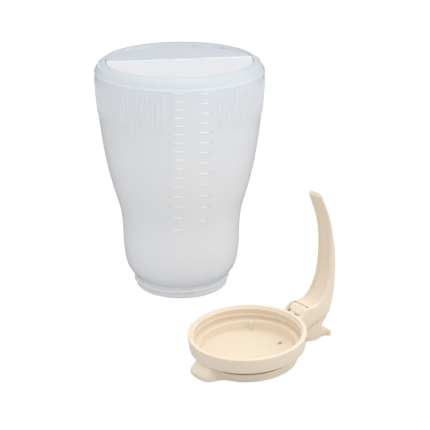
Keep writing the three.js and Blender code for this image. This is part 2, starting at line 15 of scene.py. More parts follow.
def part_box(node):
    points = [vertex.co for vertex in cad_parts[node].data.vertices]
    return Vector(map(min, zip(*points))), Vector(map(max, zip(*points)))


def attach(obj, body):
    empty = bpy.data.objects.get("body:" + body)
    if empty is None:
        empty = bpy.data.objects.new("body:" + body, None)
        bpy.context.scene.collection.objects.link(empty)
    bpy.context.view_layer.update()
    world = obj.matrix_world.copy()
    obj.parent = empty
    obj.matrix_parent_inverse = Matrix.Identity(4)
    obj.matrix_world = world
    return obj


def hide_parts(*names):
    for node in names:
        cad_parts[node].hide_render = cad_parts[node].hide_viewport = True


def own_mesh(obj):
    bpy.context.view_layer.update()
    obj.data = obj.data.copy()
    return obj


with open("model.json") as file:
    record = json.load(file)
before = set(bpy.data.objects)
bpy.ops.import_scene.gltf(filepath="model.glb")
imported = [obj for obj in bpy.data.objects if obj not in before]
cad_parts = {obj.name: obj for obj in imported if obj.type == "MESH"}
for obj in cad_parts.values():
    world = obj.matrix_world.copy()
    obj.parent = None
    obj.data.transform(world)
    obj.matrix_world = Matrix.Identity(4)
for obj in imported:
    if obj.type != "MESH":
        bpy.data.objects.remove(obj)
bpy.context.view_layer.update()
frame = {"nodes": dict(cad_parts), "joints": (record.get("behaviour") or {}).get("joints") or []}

MM = 0.001
TOLERANCE = 0.01 * MM

# %% [markdown]
# Two places are read from the frame. The jar's axis comes from the jar's box, because its widest ring is
# round. The lid lies tilted, since its thumb piece props it up, so it is modelled level in a frame of its
# own and then set down with one matrix, whose first axis is the direction in which the slide moves.

# %% Where the jar and the lid are
jar_low, jar_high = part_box("jar")
JAR_HALF = (jar_high[0] - jar_low[0]) / 2
JAR_AXIS = Vector(((jar_low[0] + jar_high[0]) / 2, jar_high[1] - JAR_HALF, 0))

LID_FROM_JAR = Vector((53.9, -153.2, 0)) * MM
DRUM_RADIUS = 38.4 * MM
DRUM_DEPTH = 22.8 * MM
DRUM_EDGE = 1.2 * MM
slide_axis = Vector(frame["joints"][0]["axis"])
LID_TILT = atan2(slide_axis.z, hypot(slide_axis.x, slide_axis.y))
LID_TURN = atan2(slide_axis.y, slide_axis.x)
rim_height = DRUM_DEPTH * cos(LID_TILT) + (DRUM_RADIUS - DRUM_EDGE) * sin(LID_TILT)
lid_place = (Matrix.Translation(JAR_AXIS + LID_FROM_JAR + Vector((0, 0, rim_height)))
             @ Matrix.Rotation(LID_TURN, 4, "Z") @ Matrix.Rotation(-LID_TILT, 4, "Y"))
print("jar axis", tuple(JAR_AXIS), "lid tilt in degrees", round(degrees(LID_TILT), 2))

# %% [markdown]
# The camera comes next, so that every test render already has the photograph's view: a long lens a metre
# away, looking down by about 21 degrees.

# %% Camera
LENS_PIXELS = 1250
PICTURE_PIXELS = 430
SENSOR_MM = 36
CAMERA_FROM_JAR = Vector((29.4, -1015.3, 447.9)) * MM
CAMERA_PITCH = radians(20.84)

camera_data = bpy.data.cameras.new("camera")
camera_data.sensor_fit = "HORIZONTAL"
camera_data.sensor_width = SENSOR_MM
camera_data.lens = SENSOR_MM * LENS_PIXELS / PICTURE_PIXELS
camera = bpy.data.objects.new("camera", camera_data)
camera.location = JAR_AXIS + CAMERA_FROM_JAR
camera.rotation_euler = (pi / 2 - CAMERA_PITCH, 0, 0)
bpy.context.scene.collection.objects.link(camera)
bpy.context.scene.camera = camera
print("lens in mm:", round(camera_data.lens, 1))

# %% [markdown]
# Small helpers for modelling with operators. An operator acts on everything that is selected, so each
# new piece starts from an empty selection. A ring that is extruded and resized again and again turns
# into any round shape, as a potter pulls up a wall: `climb` is one such step. Selecting by place is the
# other half of the method: a shape is first pulled up plainly, and then some of its vertices are moved.

# %% Helpers for operators
MERGE_DISTANCE = 1e-6


def nothing_selected():
    if bpy.context.mode != "OBJECT":
        bpy.ops.object.mode_set(mode="OBJECT")
    bpy.ops.object.select_all(action="DESELECT")


def only(obj):
    nothing_selected()
    obj.select_set(True)
    bpy.context.view_layer.objects.active = obj


def start_ring(name, radius, height, count):
    nothing_selected()
    bpy.ops.mesh.primitive_circle_add(vertices=count, radius=radius, location=(0, 0, 0))
    ring = bpy.context.object
    ring.name = name
    bpy.ops.object.mode_set(mode="EDIT")
    bpy.ops.mesh.select_all(action="SELECT")
    bpy.ops.transform.translate(value=(0, 0, height))
    return ring


def climb(old, new):
    bpy.ops.mesh.extrude_region_move(TRANSFORM_OT_translate={"value": (0, 0, new[1] - old[1])})
    ratio = new[0] / old[0]
    bpy.ops.transform.resize(value=(ratio, ratio, 1), center_override=(0, 0, new[1]))


def pull_up(name, outline, count):
    """A closed round shape through an outline of (radius, height) points, joined up at both ends."""
    shape = start_ring(name, outline[0][0], outline[0][1], count)
    for old, new in zip(outline, outline[1:]):
        climb(old, new)
    bpy.ops.mesh.merge(type="CENTER")
    bpy.ops.mesh.select_all(action="DESELECT")
    bpy.ops.object.mode_set(mode="OBJECT")
    for vertex in shape.data.vertices:
        vertex.select = vertex.index < count
    bpy.ops.object.mode_set(mode="EDIT")
    bpy.ops.mesh.merge(type="CENTER")
    outwards(shape)
    return shape


def outwards(shape):
    """Merges doubles and makes all faces point out."""
    only(shape)
    bpy.ops.object.mode_set(mode="EDIT")
    bpy.ops.mesh.select_all(action="SELECT")
    bpy.ops.mesh.remove_doubles(threshold=MERGE_DISTANCE)
    bpy.ops.mesh.normals_make_consistent(inside=False)
    bpy.ops.object.mode_set(mode="OBJECT")


print("helpers for round shapes ready")


# %% Helpers that finish a piece
def apply(shape, kind, **settings):
    """Adds one modifier, sets it up and applies it."""
    only(shape)
    modifier = shape.modifiers.new(kind.lower(), kind)
    for key, value in settings.items():
        setattr(modifier, key, value)
    bpy.ops.object.modifier_apply(modifier=modifier.name)


def smooth(shape, angle):
    only(shape)
    bpy.ops.object.shade_smooth_by_angle(angle=radians(angle))


def set_down(shape, place):
    """Puts the place into the mesh, so that the object itself stays at the origin."""
    shape.data.transform(shape.matrix_world)
    shape.matrix_world = Matrix.Identity(4)
    shape.data.transform(place)
    shape.data.update()


def smooth_through(points, steps):
    """Points on a smooth curve through the given ones, which may have any number of values each."""
    result = []
    last = len(points) - 1
    for step in range(steps + 1):
        place = last * step / steps
        k = min(int(place), last - 1)
        t = place - k
        around = [points[max(k - 1, 0)], points[k], points[k + 1], points[min(k + 2, last)]]
        result.append(tuple(
            b + 0.5 * t * (c - a + t * (2 * a - 5 * b + 4 * c - d + t * (3 * (b - c) + d - a)))
            for a, b, c, d in zip(*around)))
    return result


print("helpers that finish a piece ready")

# %% [markdown]
# ## Finishes
# Moulded plastic has a very fine skin texture and its colour is never quite even. Both effects are used
# by several materials, so they live in one node group: it mixes two colours in soft clouds, and puts out
# that colour, a roughness and a normal.

# %% Node group for a moulded skin
def add_socket(group, name, direction, kind, value=None):
    socket = group.interface.new_socket(name=name, in_out=direction, socket_type=kind)
    if value is not None:
        socket.default_value = value
    return socket


CLOUD_SCALE = 25
GRAIN_SCALE = 2200
GRAIN_HEIGHT = 0.05 * MM


def make_moulded_skin():
    group = bpy.data.node_groups.new("moulded_skin", "ShaderNodeTree")
    add_socket(group, "Color", "INPUT", "NodeSocketColor", (0.8, 0.8, 0.8, 1))
    add_socket(group, "Second Color", "INPUT", "NodeSocketColor", (0.7, 0.7, 0.7, 1))
    add_socket(group, "Cloud Scale", "INPUT", "NodeSocketFloat", CLOUD_SCALE)
    add_socket(group, "Grain Scale", "INPUT", "NodeSocketFloat", GRAIN_SCALE)
    add_socket(group, "Grain Depth", "INPUT", "NodeSocketFloat", 0.1)
    add_socket(group, "Roughness", "INPUT", "NodeSocketFloat", 0.4)
    add_socket(group, "Roughness Spread", "INPUT", "NodeSocketFloat", 0.08)
    add_socket(group, "Color", "OUTPUT", "NodeSocketColor")
    add_socket(group, "Roughness", "OUTPUT", "NodeSocketFloat")
    add_socket(group, "Normal", "OUTPUT", "NodeSocketVector")
    nodes, links = group.nodes, group.links
    values = nodes.new("NodeGroupInput")
    result = nodes.new("NodeGroupOutput")
    place = nodes.new("ShaderNodeTexCoord")
    cloud = nodes.new("ShaderNodeTexNoise")
    cloud.inputs["Detail"].default_value = 3
    links.new(place.outputs["Object"], cloud.inputs["Vector"])
    links.new(values.outputs["Cloud Scale"], cloud.inputs["Scale"])
    grain = nodes.new("ShaderNodeTexNoise")
    grain.inputs["Detail"].default_value = 2
    links.new(place.outputs["Object"], grain.inputs["Vector"])
    links.new(values.outputs["Grain Scale"], grain.inputs["Scale"])
    tint = nodes.new("ShaderNodeMix")
    tint.data_type = "RGBA"
    links.new(cloud.outputs["Fac"], tint.inputs["Factor"])
    links.new(values.outputs["Color"], tint.inputs["A"])
    links.new(values.outputs["Second Color"], tint.inputs["B"])
    links.new(tint.outputs["Result"], result.inputs["Color"])
    centred = nodes.new("ShaderNodeMath")
    centred.operation = "SUBTRACT"
    links.new(grain.outputs["Fac"], centred.inputs[0])
    centred.inputs[1].default_value = 0.5
    spread = nodes.new("ShaderNodeMath")
    spread.operation = "MULTIPLY_ADD"
    links.new(centred.outputs[0], spread.inputs[0])
    links.new(values.outputs["Roughness Spread"], spread.inputs[1])
    links.new(values.outputs["Roughness"], spread.inputs[2])
    links.new(spread.outputs[0], result.inputs["Roughness"])
    bump = nodes.new("ShaderNodeBump")
    bump.inputs["Distance"].default_value = GRAIN_HEIGHT
    links.new(grain.outputs["Fac"], bump.inputs["Height"])
    links.new(values.outputs["Grain Depth"], bump.inputs["Strength"])
    links.new(bump.outputs["Normal"], result.inputs["Normal"])
    return group


moulded_skin = make_moulded_skin()
print("group inputs:", [item.name for item in moulded_skin.interface.items_tree if item.in_out == "INPUT"])

# %% [markdown]
# The jar is natural polyethylene: milky, soft and rough, and light passes through its walls. How light it
# looks depends on how thick the wall is and on how the light falls on it. Each region of the jar has a
# finish of its own, and some of them carry painted light: a faint painted glow on the skin and the
# shoulder, a painted lit and a painted shaded copy for the two halves of the sunk base, and painted
# highlights on the crests and the marks. Towards its outline the light has a longer way through the wall.
# A tinted coat that bends light very little darkens there by itself. The lid is almond polypropylene,
# nearly opaque with a satin gloss, whose colour carries a little way under the surface. The spring is
# bright drawn wire.

# %% A plastic, and a tint that changes with height
def plastic(name, color, second, roughness, depth, cloud=CLOUD_SCALE, **shader_values):
    material = bpy.data.materials.new(name)
    material.use_nodes = True
    nodes, links = material.node_tree.nodes, material.node_tree.links
    shader = nodes["Principled BSDF"]
    skin = nodes.new("ShaderNodeGroup")
    skin.node_tree = moulded_skin
    skin.inputs["Color"].default_value = (*color, 1)
    skin.inputs["Second Color"].default_value = (*second, 1)
    skin.inputs["Cloud Scale"].default_value = cloud
    skin.inputs["Grain Scale"].default_value = GRAIN_SCALE
    skin.inputs["Grain Depth"].default_value = depth
    skin.inputs["Roughness"].default_value = roughness
    links.new(skin.outputs["Color"], shader.inputs["Base Color"])
    links.new(skin.outputs["Roughness"], shader.inputs["Roughness"])
    links.new(skin.outputs["Normal"], shader.inputs["Normal"])
    for socket, value in shader_values.items():
        shader.inputs[socket.replace("_", " ")].default_value = value
    return material


def tint_by_height(material, low_color, high_color, low, high):
    """Lets a finish change its colour between two heights."""
    nodes, links = material.node_tree.nodes, material.node_tree.links
    place = nodes.new("ShaderNodeTexCoord")
    split = nodes.new("ShaderNodeSeparateXYZ")
    links.new(place.outputs["Object"], split.inputs["Vector"])
    height = nodes.new("ShaderNodeMapRange")
    height.inputs["From Min"].default_value = low
    height.inputs["From Max"].default_value = high
    links.new(split.outputs["Z"], height.inputs["Value"])
    blend = nodes.new("ShaderNodeMix")
    blend.data_type = "RGBA"
    blend.inputs["A"].default_value = (*low_color, 1)
    blend.inputs["B"].default_value = (*high_color, 1)
    links.new(height.outputs["Result"], blend.inputs["Factor"])
    skin = next(node for node in nodes if node.type == "GROUP")
    links.new(blend.outputs["Result"], skin.inputs["Color"])


print("finishes are built on:", moulded_skin.name)

# %% Finishes of the jar
WHITE = (1, 1, 1, 1)
MILKY = {"IOR": 1.5, "Specular_IOR_Level": 0.2}
DEPTH_COAT = {"Coat_Weight": 0.7, "Coat_IOR": 1.01, "Coat_Tint": (0.89, 0.89, 0.89, 1), "Coat_Roughness": 0.5}
TINT_LOW = 130 * MM
TINT_HIGH = 190 * MM
# The faint emission of the jar's skin is a painted glow: the plastic is no lamp.
jar_finish = plastic("frosted_polyethylene", (0.97, 0.985, 1.0), (0.94, 0.96, 0.99), 0.46, 0.12,
                     Transmission_Weight=0.25, Emission_Color=(0.95, 0.97, 1, 1), Emission_Strength=0.095,
                     **MILKY, **DEPTH_COAT)
# The shoulder's faint emission is also a painted glow.
shoulder_finish = plastic("frosted_polyethylene_shoulder", (0.92, 0.98, 1.0), (0.89, 0.95, 1.0), 0.42, 0.12,
                          Transmission_Weight=0.36, Emission_Color=(0.92, 0.96, 1, 1), Emission_Strength=0.05,
                          **MILKY, **DEPTH_COAT)
# Painted shade: the rear half of the sunk base, a darker copy of the same plastic.
base_rear_painted_shade = plastic("frosted_polyethylene_rear_base_painted_shade", (0.72, 0.76, 0.8), (0.69, 0.73, 0.77), 0.44, 0.12,
                           Transmission_Weight=0.36, **MILKY)
# Painted light: the front half of the sunk base, a lighter copy of the same plastic.
base_front_painted_light = plastic("frosted_polyethylene_front_base_painted_light", (0.9, 0.905, 0.92), (0.87, 0.875, 0.89), 0.44,
                            0.12, Transmission_Weight=0.36, **MILKY)
tint_by_height(jar_finish, (0.98, 0.98, 0.985), (0.88, 0.935, 1.0), TINT_LOW, TINT_HIGH)
# Painted highlight: the crests of the flutes, the ridge, the line under the shoulder and the numbers glow
# white.
crest_painted_highlight = plastic("frosted_polyethylene_painted_crest_highlights", (0.93, 0.96, 1.0), (0.9, 0.93, 0.97), 0.42, 0.08,
                       Transmission_Weight=0.2, Emission_Color=WHITE, Emission_Strength=0.11,
                       **MILKY, **DEPTH_COAT)
# The marks let less light through, and their white glow is a painted highlight.
mark_plastic_and_glow = plastic("frosted_polyethylene_glowing_marks", (0.97, 0.98, 1.0), (0.94, 0.96, 0.98), 0.4, 0.05,
                      Transmission_Weight=0.15, IOR=1.5, Emission_Color=WHITE, Emission_Strength=0.09)
jar_finishes = [jar_finish, shoulder_finish, base_rear_painted_shade, base_front_painted_light, crest_painted_highlight]
print("finishes of the jar's skin:", [material.name for material in jar_finishes])

# %% Finishes of the lid and the spring
ALMOND = {"IOR": 1.49, "Subsurface_Weight": 0.1, "Subsurface_Scale": 2 * MM}
lid_finish = plastic("almond_polypropylene", (0.88, 0.775, 0.635), (0.86, 0.745, 0.6), 0.4, 0.15, **ALMOND)
slide_finish = plastic("almond_polypropylene_slide", (0.87, 0.76, 0.61), (0.85, 0.73, 0.575), 0.4, 0.15,
                       **ALMOND)
# Painted shade: a darker copy of the lid's plastic for the groove under the rim.
gap_painted_shade = plastic("almond_polypropylene_painted_gap_shade", (0.5, 0.38, 0.26), (0.46, 0.34, 0.23), 0.6, 0.1, IOR=1.49)
wire_finish = plastic("spring_wire", (0.62, 0.63, 0.64), (0.55, 0.56, 0.57), 0.25, 0.2, cloud=400,
                      Metallic=1.0)
print("finishes of the lid:", [material.name for material in (lid_finish, slide_finish, gap_painted_shade)])


def finish(shape, material, body):
    shape.data.materials.clear()
    shape.data.materials.append(material)
    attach(shape, body)


FIXED_BODY = "jar_and_lid"

# %% [markdown]
# ## Jar
# The real jar is blown from one tube of plastic, so its wall is one closed skin with a mouth. It could be
# a spun profile, but pulling a ring up through the whole outline keeps every ring of vertices within
# reach afterwards: the flutes and the sunk base are then made by moving some of them. The outline starts
# in the middle of the base's inner face, runs down the inside, round the lip and up the outside.

# %% Jar outline
JAR_HEIGHT = 200 * MM
JAR_WALL = 1.6 * MM
NECK_RADIUS = 39.2 * MM
BASE_RADIUS = 63.4 * MM
RIM_WIDTH = 1.2 * MM
RIDGE_DROP = 0.5 * MM
FACET_DROP = 4.2 * MM
FLUTES = 100
VERTICES_PER_FLUTE = 6
BODY_RINGS = 66
SHOULDER_RINGS = 9
SHOULDER_LIFT = 0.6 * MM
FACET_SHARES = (0.975, 0.95, 0.9, 0.8, 0.65, 0.5, 0.3, 0.1, 0.002)
CEILING_SHARES = (0.002, 0.2, 0.5, 0.8, 0.93, 0.985)
INSIDE_LOW = 9.5 * MM
CEILING_GAP = 5 * MM
BODY_POINTS = [
    (42.4, 11.8), (45.4, 16), (47.3, 20), (48.9, 26.5), (50.2, 40), (50.7, 57),
    (52.6, 72), (58.4, 93), (63.3, 115), (67, 141), (69.6, 167), (70.8, 190),
]
body = smooth_through([(r * MM, z * MM) for r, z in BODY_POINTS], BODY_RINGS)
widest_radius, widest_height = body[-1]
corner_height = (widest_height + JAR_HEIGHT) / 2 + SHOULDER_LIFT
shoulder = []
for step in range(1, SHOULDER_RINGS + 1):
    t = step / SHOULDER_RINGS
    shoulder.append((
        (1 - t) ** 2 * widest_radius + 2 * t * (1 - t) * widest_radius + t ** 2 * BASE_RADIUS,
        (1 - t) ** 2 * widest_height + 2 * t * (1 - t) * corner_height + t ** 2 * JAR_HEIGHT))
lip = [(NECK_RADIUS - 0.5 * MM, 0), (NECK_RADIUS + 0.1 * MM, 0.1 * MM), (NECK_RADIUS + 0.5 * MM, 0.6 * MM),
       (NECK_RADIUS + 0.5 * MM, 1.4 * MM), (NECK_RADIUS, 2.1 * MM), (NECK_RADIUS, 9 * MM),
       (NECK_RADIUS + 0.9 * MM, 10.4 * MM)]
outside = lip + body + shoulder
pit_radius = BASE_RADIUS - RIM_WIDTH
pit = [(pit_radius, JAR_HEIGHT), (pit_radius - 0.5 * MM, JAR_HEIGHT - 0.6 * MM),
       (pit_radius - 0.9 * MM, JAR_HEIGHT - 2 * MM)]
facet = [(pit_radius * share, JAR_HEIGHT - FACET_DROP) for share in FACET_SHARES]
inner_roof = JAR_HEIGHT - FACET_DROP - JAR_WALL
inside = [(r - JAR_WALL, z) for r, z in outside if INSIDE_LOW < z < inner_roof - CEILING_GAP][::-2]
ceiling = [(inside[0][0] * share, inner_roof) for share in CEILING_SHARES]
outline = ceiling + inside + [(NECK_RADIUS - JAR_WALL, 9 * MM), (NECK_RADIUS - JAR_WALL, 0.6 * MM),
                              (NECK_RADIUS - JAR_WALL + 0.5 * MM, 0)] + outside + pit + facet
print("rings in the jar:", len(outline))

# %% Pull up the jar
jar = pull_up("jar_skin", outline, FLUTES * VERTICES_PER_FLUTE)
print("jar faces:", len(jar.data.polygons))

# %% [markdown]
# The base is sunk inside its rim, and two shallow slopes fall away from the mould's parting line, which
# runs straight across it. Bisecting the face along that line puts edges where the ridge is, and then
# every vertex inside the rim drops to its slope.

# %% Sunk base with its ridge
PARTING_TURN = radians(9)
RIDGE_HALF = 1.9 * MM
RIDGE_PROUD = 0.7 * MM
across = Vector((-sin(PARTING_TURN), cos(PARTING_TURN), 0))


def roof_height(point, lowered):
    distance = abs(across.dot(point))
    slope = (FACET_DROP - RIDGE_DROP) / BASE_RADIUS
    proud = RIDGE_PROUD if distance < 0.1 * MM and lowered == 0 else 0
    return JAR_HEIGHT - RIDGE_DROP - slope * distance - lowered + proud


def select_by(shape, test):
    """Selects the vertices that pass a test of their place, with nothing else selected."""
    only(shape)
    bpy.ops.object.mode_set(mode="EDIT")
    bpy.ops.mesh.select_mode(type="VERT")
    bpy.ops.mesh.select_all(action="DESELECT")
    bpy.ops.object.mode_set(mode="OBJECT")
    for vertex in shape.data.vertices:
        vertex.select = test(vertex.co)
    bpy.ops.object.mode_set(mode="EDIT")


facet_height = JAR_HEIGHT - FACET_DROP


def on_facet(co):
    return abs(co.z - facet_height) < TOLERANCE and hypot(co.x, co.y) < pit_radius


for offset in (-RIDGE_HALF, 0, RIDGE_HALF):
    select_by(jar, on_facet)
    bpy.ops.mesh.bisect(plane_co=across * offset, plane_no=across)
    bpy.ops.object.mode_set(mode="OBJECT")
for vertex in jar.data.vertices:
    if on_facet(vertex.co):
        vertex.co.z = roof_height(vertex.co, 0)
    elif abs(vertex.co.z - inner_roof) < TOLERANCE:
        vertex.co.z = roof_height(vertex.co, JAR_WALL)
print("ridge height in mm:", round(max(v.co.z for v in jar.data.vertices) / MM, 2))

# %% [markdown]
# The fluted band helps wet hands to grip. Each flute is six columns of vertices wide, and two of the six
# are selected in that band and pushed outwards, apart from the smooth panel that holds the scales. One
# ring above the band is pushed out a little in the same way: it is the sharp line under the shoulder.

# %% Sizes of the fluted band
FLUTE_LOW = 155.5 * MM
FLUTE_HIGH = 187 * MM
FLUTE_PROUD = 0.75 * MM
BAND_RADIUS = 70 * MM
CREASE_HEIGHT = 191.6 * MM
CREASE_HALF = 0.45 * MM
CREASE_GROW = 1.005
PANEL_HALF = radians(17.5)
PANEL_CENTRE = -pi / 2 + PARTING_TURN
flute_step = 2 * pi / FLUTES
print("one flute in mm at the band:", round(flute_step * BAND_RADIUS / MM, 2))


# %% Which vertices belong to a flute
def from_panel(co):
    turn = atan2(co.y, co.x) - PANEL_CENTRE
    return atan2(sin(turn), cos(turn))


def in_band(co):
    return FLUTE_LOW < co.z < FLUTE_HIGH and abs(from_panel(co)) >= PANEL_HALF


def flute_column(co):
    """The place of a point in its flute, from 0 to 6 columns."""
    return (atan2(co.y, co.x) % flute_step) / flute_step * VERTICES_PER_FLUTE


def wall_radius(height):
    """The jar's outer radius at a height, between the rings of its outline."""
    for (low_radius, low), (high_radius, high) in zip(outside, outside[1:]):
        if low <= height <= high:
            return low_radius + (high_radius - low_radius) * (height - low) / max(high - low, 1e-9)
    return outside[-1][0]


def on_outside(co):
    return hypot(co.x, co.y) > wall_radius(co.z) - 0.5 * JAR_WALL


def on_flute(co):
    return in_band(co) and on_outside(co) and round(flute_column(co)) % VERTICES_PER_FLUTE in (2, 3)


def on_crest(co):
    """Whether a face's centre lies on the crest of a flute."""
    return in_band(co) and 2 < flute_column(co) < 3 and hypot(co.x, co.y) > wall_radius(co.z)


def on_crease(co):
    return abs(co.z - CREASE_HEIGHT) < CREASE_HALF and on_outside(co)


print("panel half width in mm:", round(PANEL_HALF * BAND_RADIUS / MM, 1))

# %% Push out the flutes and the crease
select_by(jar, on_flute)
grow = 1 + FLUTE_PROUD / BAND_RADIUS
bpy.ops.transform.resize(value=(grow, grow, 1), center_override=(0, 0, 0))
bpy.ops.object.mode_set(mode="OBJECT")
print("flute vertices moved:", sum(v.select for v in jar.data.vertices))
select_by(jar, on_crease)
bpy.ops.transform.resize(value=(CREASE_GROW, CREASE_GROW, 1), center_override=(0, 0, 0))
bpy.ops.object.mode_set(mode="OBJECT")
print("crease vertices moved:", sum(v.select for v in jar.data.vertices))

# %% [markdown]
# The neck's thread is a small bead wound round the neck. The Screw modifier winds a section round Z and
# climbs by one pitch each turn; after it is applied, the bead's first and last turns sink into the wall.

# %% Thread bead
THREAD_PITCH = 5 * MM
STEPS_PER_TURN = 120
BEAD_ANGLE = 50
JAR_THREAD = {"wall": NECK_RADIUS - 0.5 * MM, "crest": NECK_RADIUS + 2.4 * MM, "start": 2.6 * MM,
              "turns": 1.3, "turn_from": 0}


def thread_bead(name, wall, crest, start, turns, turn_from, foot=1.5 * MM):
    steps = int(STEPS_PER_TURN * turns)
    nothing_selected()
    bpy.ops.mesh.primitive_circle_add(vertices=12, radius=1, rotation=(pi / 2, 0, 0))
    bead = bpy.context.object
    bead.name = name
    bpy.ops.object.transform_apply(location=False, rotation=True, scale=False)
    for vertex in bead.data.vertices:
        up = max(-1, min(1, vertex.co.z * 1.2))
        out = max(-1, min(1, vertex.co.x * 1.35))
        height = start + foot * up * (1 - 0.35 * (out + 1) / 2)
        vertex.co = (wall + (crest - wall) * (out + 1) / 2, 0, height)
    apply(bead, "SCREW", angle=2 * pi * turns, screw_offset=THREAD_PITCH * turns, steps=steps,
          render_steps=steps, use_merge_vertices=False)
    for vertex in bead.data.vertices:
        turn = (vertex.co.z - start) / THREAD_PITCH
        fade = max(0, min(1, turn * 7 + 0.2, (turns - turn) * 7 + 0.2))
        radius = hypot(vertex.co.x, vertex.co.y)
        wanted = wall + (radius - wall) * (0.1 + 0.9 * fade)
        vertex.co.x *= wanted / radius
        vertex.co.y *= wanted / radius
    only(bead)
    bpy.ops.object.mode_set(mode="EDIT")
    bpy.ops.mesh.select_all(action="DESELECT")
    bpy.ops.mesh.select_non_manifold()
    bpy.ops.mesh.edge_face_add()
    outwards(bead)
    bead.data.transform(Matrix.Rotation(turn_from, 4, "Z"))
    smooth(bead, BEAD_ANGLE)
    return bead


jar_thread = thread_bead("jar_thread", **JAR_THREAD)
print("thread faces:", len(jar_thread.data.polygons))

# %% [markdown]
# Two scales are moulded on the smooth panel: one for every 100 millilitres and one for every 4 fluid
# ounces. Where a line goes follows from the volume between it and the base, added up in thin slices.
# Each mark is modelled flat and then wrapped round the wall.

# %% Heights of the scale lines
SLICES = 160
MILLILITRES_PER_CUBIC_METRE = 1e6


def held_volume(height):
    """Millilitres between the base and a height."""
    top = JAR_HEIGHT - FACET_DROP / 2 - JAR_WALL
    slice_height = (top - height) / SLICES
    total = sum((wall_radius(height + (k + 0.5) * slice_height) - JAR_WALL) ** 2 for k in range(SLICES))
    return pi * total * slice_height * MILLILITRES_PER_CUBIC_METRE


def height_for(volume):
    low, high = 10 * MM, inner_roof
    while high - low > TOLERANCE:
        middle = (low + high) / 2
        if held_volume(middle) > volume:
            low = middle
        else:
            high = middle
    return low


FLUID_OUNCE = 29.574
millilitre_lines = [(str(100 * k), height_for(100 * k)) for k in range(1, 17)]
ounce_lines = [(str(4 * k), height_for(4 * k * FLUID_OUNCE)) for k in range(1, 14)]
print("lowest line at mm:", round(millilitre_lines[-1][1] / MM, 1))


# %% Helpers that shape a mark and a number
MARK_SIZE = Vector((6.6, 0.9, 0.9)) * MM
MARK_OFFSET = 10.4 * MM
NUMBER_OFFSET = 16.8 * MM
NUMBER_SIZE = 3.4 * MM
NUMBER_DEPTH = 0.35 * MM
NUMBER_LIFT = 0.4 * MM
MARK_SINK = 0.45 * MM
MARK_ROUND = 0.25 * MM


def wrap_on_jar(shape, height, sideways):
    """Bends a flat mark round the wall: x runs round the jar, y up it and z out of it."""
    for vertex in shape.data.vertices:
        z = height + vertex.co.y
        radius = wall_radius(z)
        angle = PANEL_CENTRE + (sideways + vertex.co.x) / radius
        radius += vertex.co.z - MARK_SINK
        vertex.co = (radius * cos(angle), radius * sin(angle), z)


def scale_line(height, sideways):
    nothing_selected()
    bpy.ops.mesh.primitive_cube_add(size=1)
    mark = bpy.context.object
    mark.data.transform(Matrix.Diagonal((*MARK_SIZE, 1)))
    bpy.ops.object.mode_set(mode="EDIT")
    bpy.ops.mesh.select_all(action="SELECT")
    bpy.ops.mesh.bevel(offset=MARK_ROUND, segments=2, affect="EDGES")
    bpy.ops.object.mode_set(mode="OBJECT")
    mark.data.transform(Matrix.Translation((0, 0, MARK_SIZE.z / 2)))
    wrap_on_jar(mark, height, sideways)
    return mark


def scale_number(text, height, sideways):
    nothing_selected()
    bpy.ops.object.text_add()
    label = bpy.context.object
    label.data.body = text
    label.data.align_x = "CENTER"
    label.data.align_y = "CENTER"
    label.data.size = NUMBER_SIZE
    label.data.resolution_u = 3
    label.data.extrude = NUMBER_DEPTH
    only(label)
    bpy.ops.object.convert(target="MESH")
    label.data.transform(Matrix.Rotation(pi, 4, "Z") @ Matrix.Translation((0, 0, NUMBER_LIFT)))
    wrap_on_jar(label, height, sideways)
    return label


def join(name, shapes):
    nothing_selected()
    for shape in shapes:
        shape.select_set(True)
    bpy.context.view_layer.objects.active = shapes[0]
    bpy.ops.object.join()
    shapes[0].name = name
    return shapes[0]


print("a line stands out by mm:", round((MARK_SIZE.z - MARK_SINK) / MM, 2))

# %% Marks and numbers
lines = join("jar_scale_lines", [scale_line(z, -MARK_OFFSET) for _, z in millilitre_lines]
             + [scale_line(z, MARK_OFFSET) for _, z in ounce_lines])
numbers = join("jar_scale_numbers", [scale_number(text, z, -NUMBER_OFFSET) for text, z in millilitre_lines]
               + [scale_number(text, z, NUMBER_OFFSET) for text, z in ounce_lines])
print("marks:", len(millilitre_lines) + len(ounce_lines), "number faces:", len(numbers.data.polygons))

# %% Finish the jar
JAR_ANGLE = 46
MARK_ANGLE = 40
smooth(jar, JAR_ANGLE)
smooth(lines, MARK_ANGLE)
jar_looks = [(jar, jar_finish), (jar_thread, jar_finish), (lines, mark_plastic_and_glow), (numbers, crest_painted_highlight)]
for shape, material in jar_looks:
    set_down(shape, Matrix.Translation(JAR_AXIS))
    finish(shape, material, FIXED_BODY)
    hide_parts("jar")
print("pieces of the jar:", [shape.name for shape, _ in jar_looks])

# %% [markdown]
# The real jar is one plastic, and only its wall changes, with thin lines standing out on it that catch the
# light. Painting a mask would need a picture laid over the jar, so its faces are shared out among the
# finishes by where they lie instead: the two halves of the sunk base, painted lit in front and painted
# shaded at the rear, the shoulder, and the crests of the flutes, the ridge and the sharp line under the
# shoulder, which carry a painted highlight. The rest keeps the first.

# %% Zones of the jar's skin
SKIN_ZONE = 0
SHOULDER_ZONE = 1
REAR_BASE_SHADE_ZONE = 2
FRONT_BASE_LIGHT_ZONE = 3
HIGHLIGHT_ZONE = 4
RIM_MARGIN = 0.3 * MM
FRONT_SHARE = 0.97
CREASE_LINE = 0.5 * MM
for material in jar_finishes[SHOULDER_ZONE:]:
    jar.data.materials.append(material)


